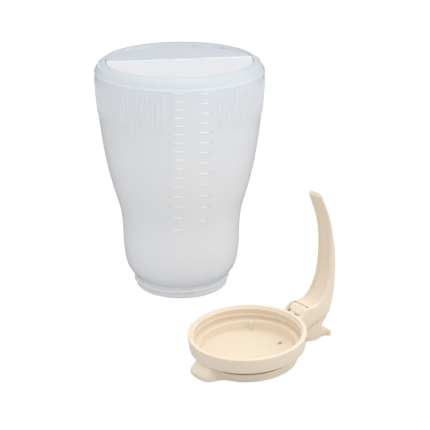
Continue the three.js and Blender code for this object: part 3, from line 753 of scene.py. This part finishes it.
def zone_of(centre, facing_up):
    """The zone of a face, from its centre and the upward part of its normal."""
    radius = hypot(centre.x, centre.y)
    side = across.dot(centre)
    in_base = centre.z > facet_height - MM
    # The ridge, the line under the shoulder and the crests of the flutes carry a painted highlight.
    if in_base and abs(side) < RIDGE_HALF and radius < BASE_RADIUS:
        return HIGHLIGHT_ZONE
    # The front half of the sunk base gets painted light and the rear half painted shade.
    if in_base and radius < BASE_RADIUS - RIM_MARGIN and facing_up > 0.5:
        return FRONT_BASE_LIGHT_ZONE if side < 0 and radius < FRONT_SHARE * pit_radius else REAR_BASE_SHADE_ZONE
    if CREASE_HEIGHT < centre.z < CREASE_HEIGHT + CREASE_LINE and radius > BASE_RADIUS:
        return HIGHLIGHT_ZONE
    if centre.z > CREASE_HEIGHT:
        return SHOULDER_ZONE
    return HIGHLIGHT_ZONE if on_crest(centre) else SKIN_ZONE


for face in jar.data.polygons:
    face.material_index = zone_of(face.center - JAR_AXIS, face.normal.z)
print("jar top in mm:", round(max(v.co.z for v in jar.data.vertices) / MM, 1))

# %% [markdown]
# ## Lid
# The lid is one moulding. Its round part is pulled up in the same way as the jar, from the middle of the
# inner floor, out over the wall, the ledge and the rim, and back under the drum. The spout is a bulge of
# that skin: the nearer a vertex is to the spout's middle, the further it is pushed out.

# %% Lid outline
RIM_RADIUS = 45.8 * MM
RIM_HEIGHT = 12.4 * MM
RIM_INSIDE = RIM_RADIUS - 3.4 * MM
LEDGE_DEPTH = 10.7 * MM
FLOOR_DEPTH = 18.9 * MM
FLOOR_UNDERSIDE = 20.3 * MM
DRUM_INSIDE = DRUM_RADIUS - 1.5 * MM
GROOVE_DEPTH = 1.1 * MM
GROOVE_TOP = -14 * MM
GROOVE_LOW = -16.5 * MM
LID_RING = 240


def rounded(corner, before, after, radius, steps=4):
    """Points that round one corner of an outline, between the lines to its two neighbours."""
    corner, before, after = Vector(corner), Vector(before), Vector(after)
    start = corner + (before - corner).normalized() * radius
    end = corner + (after - corner).normalized() * radius
    curve = []
    for step in range(steps + 1):
        t = step / steps
        curve.append(tuple((1 - t) ** 2 * start + 2 * t * (1 - t) * corner + t ** 2 * end))
    return curve


def with_round_corners(points, radii):
    result = [points[0]]
    for k in range(1, len(points) - 1):
        result += rounded(points[k], points[k - 1], points[k + 1], radii[k - 1] * MM)
    return result + [points[-1]]


lid_corners = [
    (0.2 * MM, -FLOOR_DEPTH), (DRUM_INSIDE - 0.3 * MM, -FLOOR_DEPTH), (DRUM_INSIDE + 0.4 * MM, -LEDGE_DEPTH),
    (RIM_INSIDE, -LEDGE_DEPTH), (RIM_INSIDE, 0), (RIM_RADIUS, 0), (RIM_RADIUS - 1.4 * MM, -RIM_HEIGHT),
    (DRUM_RADIUS, -RIM_HEIGHT), (DRUM_RADIUS, GROOVE_TOP),
    (DRUM_RADIUS - GROOVE_DEPTH, GROOVE_TOP - 0.3 * MM), (DRUM_RADIUS - GROOVE_DEPTH, GROOVE_LOW + 0.4 * MM),
    (DRUM_RADIUS, GROOVE_LOW), (DRUM_RADIUS, -20 * MM), (DRUM_RADIUS, -DRUM_DEPTH),
    (DRUM_INSIDE, -DRUM_DEPTH), (DRUM_INSIDE, -FLOOR_UNDERSIDE), (0.2 * MM, -FLOOR_UNDERSIDE),
]
CORNER_RADII = [2.4, 0.6, 0.7, 0.8, 1.0, 1.3, 0.5, 0.1, 0.1, 0.1, 0.1, 1.2, 1.1, 0.5, 0.4]
lid_outline = with_round_corners(lid_corners, CORNER_RADII)
print("rings in the lid:", len(lid_outline))

# %% Shape of the spout
SPOUT_NECK = 5 * MM
SPOUT_REACH = 11.6 * MM
SPOUT_SPREAD = radians(19)
SPOUT_SQUARENESS = 5
LIP_START = 0.75
LIP_TURN_IN = 0.04
ROOT_SHARE = 0.78
SPOUT_DEPTH = 22 * MM


def bulge(co):
    """How far the spout pushes the drum's skin outwards at a point."""
    turn = abs(atan2(-co.y, -co.x))
    down = max(0, min(1, (-co.z - RIM_HEIGHT) / (SPOUT_DEPTH - RIM_HEIGHT)))
    lip = 1 - LIP_TURN_IN * max(0, down - LIP_START) / (1 - LIP_START)
    flare = SPOUT_NECK + (SPOUT_REACH - SPOUT_NECK) * sin(min(1, down / LIP_START) * pi / 2)
    spread = SPOUT_SPREAD * (ROOT_SHARE + (1 - ROOT_SHARE) * down)
    return flare * lip * exp(-((turn / spread) ** SPOUT_SQUARENESS))


print("spout reach in mm:", round(bulge(Vector((-DRUM_RADIUS, 0, -SPOUT_DEPTH))) / MM, 2))


# %% Pull up the lid and push out the spout
def on_spout_side(co):
    """Whether a point lies on the half of the drum's wall where the spout is."""
    in_height = -FLOOR_UNDERSIDE * 1.2 < co.z < -RIM_HEIGHT * 1.01
    return in_height and hypot(co.x, co.y) > DRUM_RADIUS - 0.7 * MM and co.x < 0


lid = pull_up("lid_bowl", lid_outline, LID_RING)
select_by(lid, on_spout_side)
bpy.ops.mesh.subdivide(number_cuts=1)
bpy.ops.object.mode_set(mode="OBJECT")
for vertex in lid.data.vertices:
    co = vertex.co
    radius = hypot(co.x, co.y)
    is_skirt = co.z < -FLOOR_UNDERSIDE and radius > DRUM_INSIDE - 0.3 * MM
    is_drum = co.z < -RIM_HEIGHT + TOLERANCE and DRUM_RADIUS - DRUM_EDGE < radius < RIM_RADIUS - 3 * MM
    if is_skirt or is_drum:
        push = bulge(co)
        in_groove = GROOVE_LOW < co.z < GROOVE_TOP and radius < DRUM_RADIUS - 0.5 * GROOVE_DEPTH
        if in_groove and push > 0.3 * MM:
            push += GROOVE_DEPTH
        new_radius = radius + push
        co.x *= new_radius / radius
        co.y *= new_radius / radius
        if co.z < -SPOUT_DEPTH:
            co.z += min(push / SPOUT_NECK, 1) * (-SPOUT_DEPTH - co.z)
print("lid faces:", len(lid.data.polygons))

# %% [markdown]
# The lid has a trough through the drum's wall to the spout, a slot for the slide, a small vent hole and
# shallow pin marks round it. Each crosses faces that don't follow its edge, so deleting faces would leave
# a ragged hole: the Boolean modifier cuts a clean one. The cutters are thrown away afterwards.

# %% Cut the trough, the slot and the vent
def block(name, low, high):
    nothing_selected()
    bpy.ops.mesh.primitive_cube_add(size=1)
    shape = bpy.context.object
    shape.name = name
    size = Vector(high) - Vector(low)
    middle = (Vector(high) + Vector(low)) / 2
    shape.data.transform(Matrix.Translation(middle) @ Matrix.Diagonal((*size, 1)))
    return shape


def cut(shape, cutter):
    apply(shape, "BOOLEAN", operation="DIFFERENCE", object=cutter, solver="EXACT")
    bpy.data.objects.remove(cutter)


TROUGH_HALF = 5.5 * MM
TROUGH_LOW = (-44.5 * MM, -TROUGH_HALF, -FLOOR_DEPTH)
TROUGH_HIGH = (-34 * MM, TROUGH_HALF, -15 * MM)
GATE_HALF = 9.3 * MM
SLOT_LOW = (30 * MM, -GATE_HALF, -DRUM_DEPTH - MM)
SLOT_HIGH = (42 * MM, GATE_HALF, -FLOOR_UNDERSIDE - TOLERANCE)
VENT_PLACE = Vector((28.6, -4.5, 0)) * MM
VENT_RADIUS = 1.8 * MM
VENT_CUT = 6 * MM
PIN_RADIUS = 0.5 * MM
PIN_CUT = 1.2 * MM
PIN_MARKS = [(2.9, -0.3), (2.2, 2), (2.6, -2.4), (-2.2, -0.9), (4.4, 1)]
cut(lid, block("trough", TROUGH_LOW, TROUGH_HIGH))
cut(lid, block("slot", SLOT_LOW, SLOT_HIGH))


def round_cutter(place, radius, depth):
    nothing_selected()
    bpy.ops.mesh.primitive_cylinder_add(vertices=20, radius=radius, depth=depth, location=place)
    bpy.ops.object.transform_apply(location=True)
    return bpy.context.object


floor_drop = Vector((0, 0, -FLOOR_DEPTH))
cut(lid, round_cutter(VENT_PLACE + floor_drop, VENT_RADIUS, VENT_CUT))
for x, y in PIN_MARKS:
    cut(lid, round_cutter(VENT_PLACE + floor_drop + Vector((x, y, 0)) * MM, PIN_RADIUS, PIN_CUT))
print("lid faces after cutting:", len(lid.data.polygons))

# %% [markdown]
# Inside the rim runs the thread that takes the jar's bead, and one upright rib stands on the drum's inner
# wall. Beside the vent the moulding has two low bosses. They are small solids set into the lid's skin.

# %% Thread, rib and bosses of the lid
LID_THREAD = {"wall": RIM_INSIDE + 0.6 * MM, "crest": RIM_INSIDE - 1.2 * MM,
              "start": -LEDGE_DEPTH + 1.9 * MM, "turns": 1.6, "turn_from": radians(-62)}
RIB_LOW = (DRUM_INSIDE - 1.2 * MM, -1.25 * MM, -FLOOR_DEPTH - 0.3 * MM)
RIB_HIGH = (DRUM_INSIDE + 0.9 * MM, 1.25 * MM, -LEDGE_DEPTH - 0.5 * MM)
RIB_ROUND = 0.5 * MM
RIB_TURN = radians(47)
BOSS_PLACES = [(1, 3.4), (5, -1.6)]
BOSS_RADIUS = 0.9 * MM
BOSS_HEIGHT = 1 * MM
BOSS_SINK = 0.1 * MM
BOSS_ROUND = 0.2 * MM
lid_thread = thread_bead("lid_thread", **LID_THREAD)
rib = block("lid_rib", RIB_LOW, RIB_HIGH)
apply(rib, "BEVEL", width=RIB_ROUND, segments=3)
rib.data.transform(Matrix.Rotation(RIB_TURN, 4, "Z"))
bosses = []
for x, y in BOSS_PLACES:
    nothing_selected()
    place = (VENT_PLACE.x + x * MM, VENT_PLACE.y + y * MM, -FLOOR_DEPTH - BOSS_SINK)
    bpy.ops.mesh.primitive_cylinder_add(vertices=20, radius=BOSS_RADIUS, depth=BOSS_HEIGHT, location=place)
    boss = bpy.context.object
    bpy.ops.object.transform_apply(location=True)
    apply(boss, "BEVEL", width=BOSS_ROUND, segments=2)
    bosses.append(boss)
bosses = join("lid_bosses", bosses)
print("small pieces of the lid:", [shape.name for shape in (lid_thread, rib, bosses)])

# %% [markdown]
# ## Handle and hub
# The handle grows out of the rim as a deep hub and thins towards its free tip. Its cross-section changes
# all the way, so it is lofted: one section is drawn, extruded from station to station along a smooth
# curve through a few given places, and each new end is moved to its own section. Its inner face is a
# shallow scoop between two rounded edges.

# %% Stations of the handle
# Reach beyond the rim and height of the inner and of the outer point, half width and depth of the scoop,
# in millimetres of the lid's own frame.
STATIONS = [
    (-2.5, -0.9, -2.5, -12, 12.4, 0), (0.4, -0.2, 0.6, -12.9, 11, 0), (5.2, 4.2, 6.6, -14.6, 10.4, 0),
    (11.4, 4.1, 15.2, -12.3, 10.2, 0.1), (17.2, 4.4, 23.6, -10, 10, 1.2), (21.4, 6.3, 30, -8.3, 9.8, 1.9),
    (25.2, 10.4, 34.2, 0, 9.4, 2.2), (28.2, 15.8, 37.3, 10, 9, 2.2), (31.1, 23.5, 39, 22, 8.7, 2.1),
    (33.1, 34, 39.8, 34.6, 8.4, 2), (34, 46, 39.2, 47.8, 8.2, 1.8), (33.7, 57.4, 37.2, 59.8, 7.9, 1.6),
    (32.3, 69, 34.9, 70.4, 7.9, 1.3), (28.8, 80.6, 31.1, 81.6, 7.8, 1.2), (26, 88, 28.1, 89.2, 7.6, 1.1),
    (25.1, 90.3, 27.3, 92, 7.4, 0.9), (24.6, 91.3, 26.7, 93.5, 7.2, 0.1), (24.1, 92, 25.8, 95.1, 6.4, 0),
]
HANDLE_EDGE = 2.2
HANDLE_RINGS = 80
stations = smooth_through(STATIONS, HANDLE_RINGS)
print("handle stations:", len(stations))


def handle_section(station):
    """The points round the handle at one station, in metres."""
    inner_reach, inner_z, outer_reach, outer_z, half, scoop = station
    inner = Vector((RIM_RADIUS / MM + inner_reach, 0, inner_z))
    along = Vector((RIM_RADIUS / MM + outer_reach, 0, outer_z)) - inner
    thick = along.length
    along.normalize()
    edge = min(HANDLE_EDGE, half * 0.4)
    fillet = min(2.6, thick * 0.42, half * 0.5)
    bevel = min(1.6, thick * 0.45)
    side = [(half, thick * 0.55), (half, bevel), (half - 0.3 * bevel, 0.3 * bevel), (half - bevel, 0),
            (half - edge, 0), (half - edge - 0.15, scoop * 0.1), (half - edge - 0.6, scoop * 0.85),
            (half - edge - 1.2, scoop), (half * 0.35, scoop)]
    inner_face = side + [(-y, depth) for y, depth in side[::-1]]
    outer_side = [(-half, thick - fillet), (-half + 0.3 * fillet, thick - 0.3 * fillet),
                  (-half + fillet, thick)]
    outer_face = outer_side + [(0, thick)] + [(-y, depth) for y, depth in outer_side[::-1]]
    return [(inner + along * depth + Vector((0, y, 0))) * MM for y, depth in inner_face + outer_face]


print("points in a section:", len(handle_section(stations[0])))


# %% Loft the handle
def loft(name, sections):
    """Extrudes one section through all the others."""
    count = len(sections[0])
    nothing_selected()
    bpy.ops.mesh.primitive_circle_add(vertices=count, radius=0.01, fill_type="NGON")
    shape = bpy.context.object
    shape.name = name
    for vertex, place in zip(shape.data.vertices, sections[0]):
        vertex.co = place
    for section in sections[1:]:
        bpy.ops.object.mode_set(mode="EDIT")
        bpy.ops.mesh.extrude_region_move()
        bpy.ops.object.mode_set(mode="OBJECT")
        newest = [vertex for vertex in shape.data.vertices if vertex.select]
        for vertex, place in zip(newest, section):
            vertex.co = place
    return shape


handle = loft("lid_handle", [handle_section(station) for station in stations])
outwards(handle)
apply(handle, "SUBSURF", levels=1, render_levels=1)
print("handle faces:", len(handle.data.polygons))

# %% [markdown]
# In the hub, between the rim and the handle's root, is the pocket that takes the spring's retainer. Holes
# at its far front and its near back corner and a slit at the near front show as dark spots round the block.
# The retainer is a plain block: its front edge is lowered, and then its top is cut across and raised along
# that line, so that it slopes down towards the bowl. The holes are cut from both, with the same cutters.

# %% Pocket in the hub
POCKET_HALF = 7.9 * MM
POCKET_FRONT = 46.9 * MM
POCKET_BACK = 55.8 * MM
POCKET_DEPTH = 3 * MM
POCKET_TOP = 10 * MM
pocket_low = (POCKET_FRONT, -POCKET_HALF, -POCKET_DEPTH)
cut(handle, block("pocket", pocket_low, (POCKET_BACK, POCKET_HALF, POCKET_TOP)))
HUB_HOLES = [
    ((45.8, -7.2, -8), (46.9, -1.8, 10)),
    ((53.3, -8.3, -6), (56.2, -6.1, 10)),
    ((46, 3.7, -8), (48.6, 6.6, 10)),
]


def cut_hub_holes(shape):
    for low, high in HUB_HOLES:
        cut(shape, block("hole", Vector(low) * MM, Vector(high) * MM))


cut_hub_holes(handle)
print("handle faces after cutting:", len(handle.data.polygons))

# %% Retainer block with a sloped front
RETAINER_TOP = 3.7 * MM
RETAINER_GAP = 0.35 * MM
RETAINER_CREST = 51.6 * MM
FRONT_DROP = 3.2 * MM
CREST_RISE = 1.5 * MM
RETAINER_ROUND = 0.35 * MM
retainer_low = (POCKET_FRONT + 0.15 * MM, -POCKET_HALF + RETAINER_GAP, -POCKET_DEPTH + 0.3 * MM)
retainer_high = (POCKET_BACK - 0.4 * MM, POCKET_HALF - RETAINER_GAP, RETAINER_TOP)
retainer = block("retainer_block", retainer_low, retainer_high)
select_by(retainer, lambda co: co.x < RETAINER_CREST and co.z > 0)
bpy.ops.transform.translate(value=(0, 0, -FRONT_DROP))
bpy.ops.object.mode_set(mode="OBJECT")
only(retainer)
bpy.ops.object.mode_set(mode="EDIT")
bpy.ops.mesh.select_all(action="SELECT")
bpy.ops.mesh.bisect(plane_co=(RETAINER_CREST, 0, 0), plane_no=(1, 0, 0))
bpy.ops.object.mode_set(mode="OBJECT")
select_by(retainer, lambda co: abs(co.x - RETAINER_CREST) < TOLERANCE and co.z > 0)
bpy.ops.transform.translate(value=(0, 0, CREST_RISE))
bpy.ops.object.mode_set(mode="OBJECT")
cut_hub_holes(retainer)
apply(retainer, "BEVEL", width=RETAINER_ROUND, segments=3, limit_method="ANGLE")
print("retainer faces:", len(retainer.data.polygons))

# %% [markdown]
# ## Slide
# The slide is seen only at its thumb piece and, from below, as the plate in its rails. Its CAD shape is
# right, so a copy of it is merged and its edges are rounded with the Bevel modifier, as on a moulding.

# %% Rounded copy of the slide
def merged_copy(node, name):
    """A copy of a CAD piece with its place in the mesh and its doubled vertices merged."""
    source = frame["nodes"][node]
    copy = source.copy()
    copy.data = source.data.copy()
    copy.name = name
    bpy.context.scene.collection.objects.link(copy)
    outwards(copy)
    return copy


FLAT_ANGLE = radians(2)
SLIDE_ROUND = 0.5 * MM
SHARP_ANGLE = radians(38)
SMALL_ANGLE = 40
slide = merged_copy("slide", "slide_moulding")
only(slide)
bpy.ops.object.mode_set(mode="EDIT")
bpy.ops.mesh.select_all(action="SELECT")
bpy.ops.mesh.dissolve_limited(angle_limit=FLAT_ANGLE)
bpy.ops.object.mode_set(mode="OBJECT")
apply(slide, "BEVEL", width=SLIDE_ROUND, segments=3, limit_method="ANGLE", angle_limit=SHARP_ANGLE)
smooth(slide, SMALL_ANGLE)
print("slide faces:", len(slide.data.polygons))

# %% [markdown]
# Two rails under the drum guide the slide's plate. On the real lid they are part of the moulding. An
# angle could be extruded as one bar, but they only show from below, so each is two plain bars that overlap:
# an upright web beside the plate, and a flat lip that reaches under it.

# %% Rails under the drum
RAIL_REACH = 36.5 * MM
RAIL_OUTER = 10.8 * MM
RAIL_LIP = 8.1 * MM
RAIL_TOP = -FLOOR_UNDERSIDE + 0.5 * MM
RAIL_LIP_TOP = -22.2 * MM
RAIL_LOW = -DRUM_DEPTH + 0.02 * MM


def rail_bar(name, side, inner, top):
    """One bar along the slide, between an inner line and the rail's outer face."""
    near, far = sorted((side * inner, side * RAIL_OUTER))
    return block(name, (-RAIL_REACH, near, RAIL_LOW), (RAIL_REACH, far, top))


rails = []
for side in (-1, 1):
    web = rail_bar("web", side, GATE_HALF, RAIL_TOP)
    lip_block = rail_bar("lip", side, RAIL_LIP, RAIL_LIP_TOP)
    rails += [web, lip_block]
rails = join("lid_rails", rails)
print("rail faces:", len(rails.data.polygons))

# %% [markdown]
# All of the lid is now ready in its own level frame. One matrix tilts and turns it into its place beside
# the jar. The faces in the groove under the rim are listed first, while their height still tells them
# apart: they lie in shade, so they get a darker colour of their own, which is painted shade.

# %% Set the lid's pieces down and finish them
LID_ANGLE = 32
GAP_SHADE_ZONE = 1
smooth(lid, LID_ANGLE)
smooth(handle, LID_ANGLE)
smooth(retainer, SMALL_ANGLE)
smooth(rib, SMALL_ANGLE)
smooth(bosses, SMALL_ANGLE)
groove_faces = [face.index for face in lid.data.polygons
                if GROOVE_LOW < face.center.z < GROOVE_TOP
                and hypot(face.center.x, face.center.y) < DRUM_RADIUS - 0.3 * GROOVE_DEPTH]
for shape in (lid, lid_thread, rib, bosses, handle, rails):
    set_down(shape, lid_place)
    finish(shape, lid_finish, FIXED_BODY)
    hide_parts("lid")
# The groove's faces get the painted shade.
lid.data.materials.append(gap_painted_shade)
for index in groove_faces:
    lid.data.polygons[index].material_index = GAP_SHADE_ZONE
set_down(retainer, lid_place)
finish(retainer, lid_finish, FIXED_BODY)
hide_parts("spring_retainer")
finish(slide, slide_finish, "slide")
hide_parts("slide")
print("handle top in mm:", round(max(v.co.z for v in handle.data.vertices) / MM, 1))

# %% [markdown]
# ## Spring
# The coil hides inside the hub. Its CAD helix is true, so a copy of it is smoothed and stands for it. Its
# outer end rests on the hub's wall and its other end on the slide's lug.

# %% Coil of the spring
WIRE_ANGLE = 70
spring = merged_copy("spring", "spring_coil")
smooth(spring, WIRE_ANGLE)
finish(spring, wire_finish, FIXED_BODY)
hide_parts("spring")
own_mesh(spring)
print("spring faces:", len(spring.data.polygons))

# %% [markdown]
# ## Floor and light
# The photograph was taken in a white studio: the floor is as white as the background, the light comes
# softly from above, and the sides that face the camera are a little darker. One flat sheet, wide enough
# to fill the picture, stands for floor and background. It also glows, but only for the camera, so it
# stays white and casts no light of its own on the plastic. One broad lamp hangs overhead, a weaker one
# stands at the right, and a white sky fills in from all round.

# %% Floor
FLOOR_WIDTH = 6
FLOOR_PLACE = (0, 1.2, 0)
FLOOR_GREY = (0.62, 0.62, 0.62, 1)
FLOOR_ROUGHNESS = 0.9
FLOOR_GLOW = 1.1
GLOW_SHARE = 0.85
nothing_selected()
bpy.ops.mesh.primitive_plane_add(size=FLOOR_WIDTH, location=FLOOR_PLACE)
floor = bpy.context.object
floor.name = "floor"
bpy.ops.object.transform_apply(location=True)
floor_finish = bpy.data.materials.new("white_sweep")
floor_finish.use_nodes = True
nodes, links = floor_finish.node_tree.nodes, floor_finish.node_tree.links
floor_shader = nodes["Principled BSDF"]
floor_shader.inputs["Base Color"].default_value = FLOOR_GREY
floor_shader.inputs["Roughness"].default_value = FLOOR_ROUGHNESS
glow = nodes.new("ShaderNodeEmission")
glow.inputs["Color"].default_value = WHITE
glow.inputs["Strength"].default_value = FLOOR_GLOW
ray = nodes.new("ShaderNodeLightPath")
share = nodes.new("ShaderNodeMath")
share.operation = "MULTIPLY"
share.inputs[1].default_value = GLOW_SHARE
links.new(ray.outputs["Is Camera Ray"], share.inputs[0])
look = nodes.new("ShaderNodeMixShader")
links.new(share.outputs[0], look.inputs["Fac"])
links.new(floor_shader.outputs["BSDF"], look.inputs[1])
links.new(glow.outputs["Emission"], look.inputs[2])
links.new(look.outputs["Shader"], nodes["Material Output"].inputs["Surface"])
floor.data.materials.append(floor_finish)
print("floor width in metres:", floor.dimensions.x)


# %% Lamps and sky
OVERHEAD_LAMP = {"place": (0.1, 0.1, 1.5), "target": (0, 0, 0.05), "size": (1.4, 1.4), "watts": 7.2}
RIGHT_LAMP = {"place": (1.2, -0.5, 0.9), "target": (0, 0, 0.1), "size": (0.7, 0.7), "watts": 2.8}
SKY_STRENGTH = 0.86


def soft_lamp(name, place, target, size, watts):
    data = bpy.data.lights.new(name, "AREA")
    data.shape = "RECTANGLE"
    data.size, data.size_y = size
    data.energy = watts
    lamp = bpy.data.objects.new(name, data)
    lamp.location = place
    lamp.rotation_euler = (Vector(target) - Vector(place)).to_track_quat("-Z", "Y").to_euler()
    bpy.context.scene.collection.objects.link(lamp)
    return lamp


soft_lamp("overhead", **OVERHEAD_LAMP)
soft_lamp("right", **RIGHT_LAMP)
world = bpy.data.worlds.new("white_room")
bpy.context.scene.world = world
world.use_nodes = True
world.node_tree.nodes["Background"].inputs["Color"].default_value = WHITE
world.node_tree.nodes["Background"].inputs["Strength"].default_value = SKY_STRENGTH
bpy.context.scene.view_settings.view_transform = "Standard"
print("lamps:", len(bpy.data.lights))
